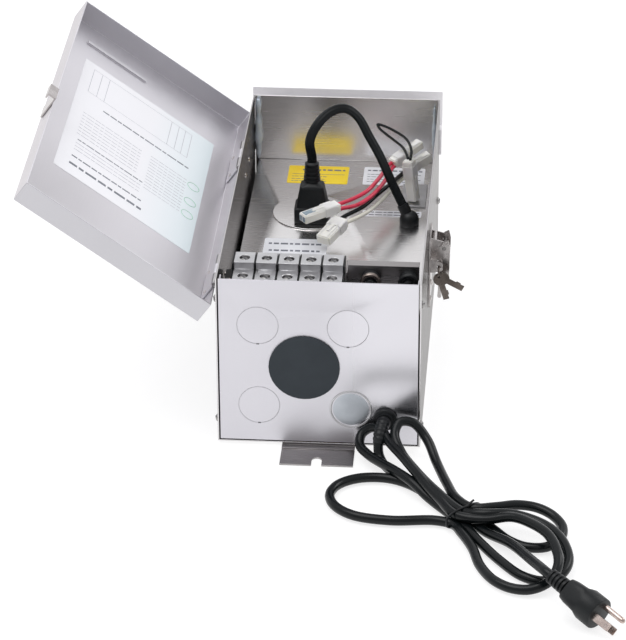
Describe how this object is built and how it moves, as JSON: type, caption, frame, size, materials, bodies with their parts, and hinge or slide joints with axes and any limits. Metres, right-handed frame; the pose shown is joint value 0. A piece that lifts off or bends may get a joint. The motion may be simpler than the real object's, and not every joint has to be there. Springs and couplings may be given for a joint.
{
  "type": "low-voltage power centre",
  "caption": "Stainless wall-hung transformer case on its back, hinged door open, with terminal strip, reset breakers, timer plug, draw latch and bundled mains lead.",
  "frame": {"origin": "on the upper hanger plate's wall-side face, on the case's centreline, 20 mm below the case's top end", "axes": "+Z out of the wall through the case's front, +Y to the case's top end, +X to its latch side"},
  "size_m": [0.5096, 0.668, 0.2539],
  "materials": {
    "steel_sheet": "bright brushed stainless sheet",
    "bright_metal": "plated steel, bright",
    "core_steel": "varnished laminated steel",
    "copper": "enamelled copper wire under tape",
    "lug_metal": "plated, satin",
    "black_plastic": "moulded black, satin",
    "rubber": "moulded black, soft",
    "cord_jacket": "flexible black PVC, half gloss",
    "nylon": "natural nylon, slightly translucent",
    "red_jacket": "red PVC insulation",
    "white_jacket": "off-white PVC insulation"
  },
  "bodies": {
    "case": {"case_shell": "steel_sheet", "bottom_plate": "steel_sheet", "top_wall": "steel_sheet", "rain_hood": "steel_sheet", "deck": "steel_sheet", "mounting_tab": "steel_sheet", "hanger_plate": "steel_sheet", "hinge_case_leaf_1": "steel_sheet", "hinge_case_leaf_2": "steel_sheet", "hinge_pin_1": "steel_sheet", "hinge_pin_2": "steel_sheet", "terminal_bracket": "steel_sheet", "latch_base": "bright_metal", "lever_pin": "bright_metal", "plug_contacts": "bright_metal", "transformer_core": "core_steel", "transformer_winding": "copper", "socket_plate": "lug_metal", "terminal_lug_1": "lug_metal", "terminal_lug_2": "lug_metal", "terminal_lug_3": "lug_metal", "terminal_lug_4": "lug_metal", "terminal_lug_5": "lug_metal", "hole_plug": "black_plastic", "terminal_base": "black_plastic", "breaker_1": "black_plastic", "breaker_2": "black_plastic", "timer_plug": "black_plastic", "gland": "rubber", "cord_dome": "rubber", "timer_cord": "cord_jacket", "jumper_wire": "cord_jacket", "black_wire": "cord_jacket", "cord_lead": "cord_jacket", "cord_hank": "cord_jacket", "cord_tail": "cord_jacket", "plug_body": "cord_jacket", "jumper_connector": "nylon", "connector_left_1": "nylon", "connector_left_2": "nylon", "connector_right_1": "nylon", "connector_right_2": "nylon", "red_wire_1": "red_jacket", "red_wire_2": "red_jacket", "white_wire": "white_jacket"},
    "door": {"door_pan": "steel_sheet", "keeper": "bright_metal", "hinge_door_leaf_1": "steel_sheet", "hinge_door_leaf_2": "steel_sheet"},
    "latch_lever": {"latch_lever": "bright_metal"},
    "draw_bail": {"draw_bail": "bright_metal"},
    "key_ring": {"key_ring": "bright_metal"},
    "key_1": {"key_1": "bright_metal"},
    "key_2": {"key_2": "bright_metal"},
    "reset_button_1": {"reset_button_1": "black_plastic"},
    "reset_button_2": {"reset_button_2": "black_plastic"}
  },
  "joints": [
    {"name": "door_hinge", "type": "hinge", "parent": "case", "child": "door", "pos_m": [-0.08975, -0.1615, 0.1382], "axis": [0, 1, 0], "range_deg": [0, 144], "deforming": ["timer_cord"]},
    {"name": "latch_lever_pivot", "type": "hinge", "parent": "case", "child": "latch_lever", "pos_m": [0.09875, -0.1835, 0.116], "axis": [0, 1, 0], "range_deg": [-120, 0]},
    {"name": "draw_bail_pivot", "type": "hinge", "parent": "latch_lever", "child": "draw_bail", "pos_m": [0.09525, -0.1835, 0.104], "axis": [0, 1, 0], "range_deg": [-75, 0]},
    {"name": "key_ring_swing", "type": "hinge", "parent": "case", "child": "key_ring", "pos_m": [0.09475, -0.2049, 0.104], "axis": [0, 1, 0], "range_deg": [-40, 5]},
    {"name": "key_1_swing", "type": "hinge", "parent": "key_ring", "child": "key_1", "pos_m": [0.09475, -0.2059, 0.095], "axis": [0, 1, 0], "range_deg": [-20, 45]},
    {"name": "key_2_swing", "type": "hinge", "parent": "key_ring", "child": "key_2", "pos_m": [0.09475, -0.2039, 0.095], "axis": [0, 1, 0], "range_deg": [-40, 8]},
    {"name": "reset_button_1_press", "type": "slide", "parent": "case", "child": "reset_button_1", "axis": [0, 1, 0], "range_m": [0, 0.0025], "stiffness_N_per_m": 300},
    {"name": "reset_button_2_press", "type": "slide", "parent": "case", "child": "reset_button_2", "axis": [0, 1, 0], "range_m": [0, 0.0025], "stiffness_N_per_m": 300}
  ]
}
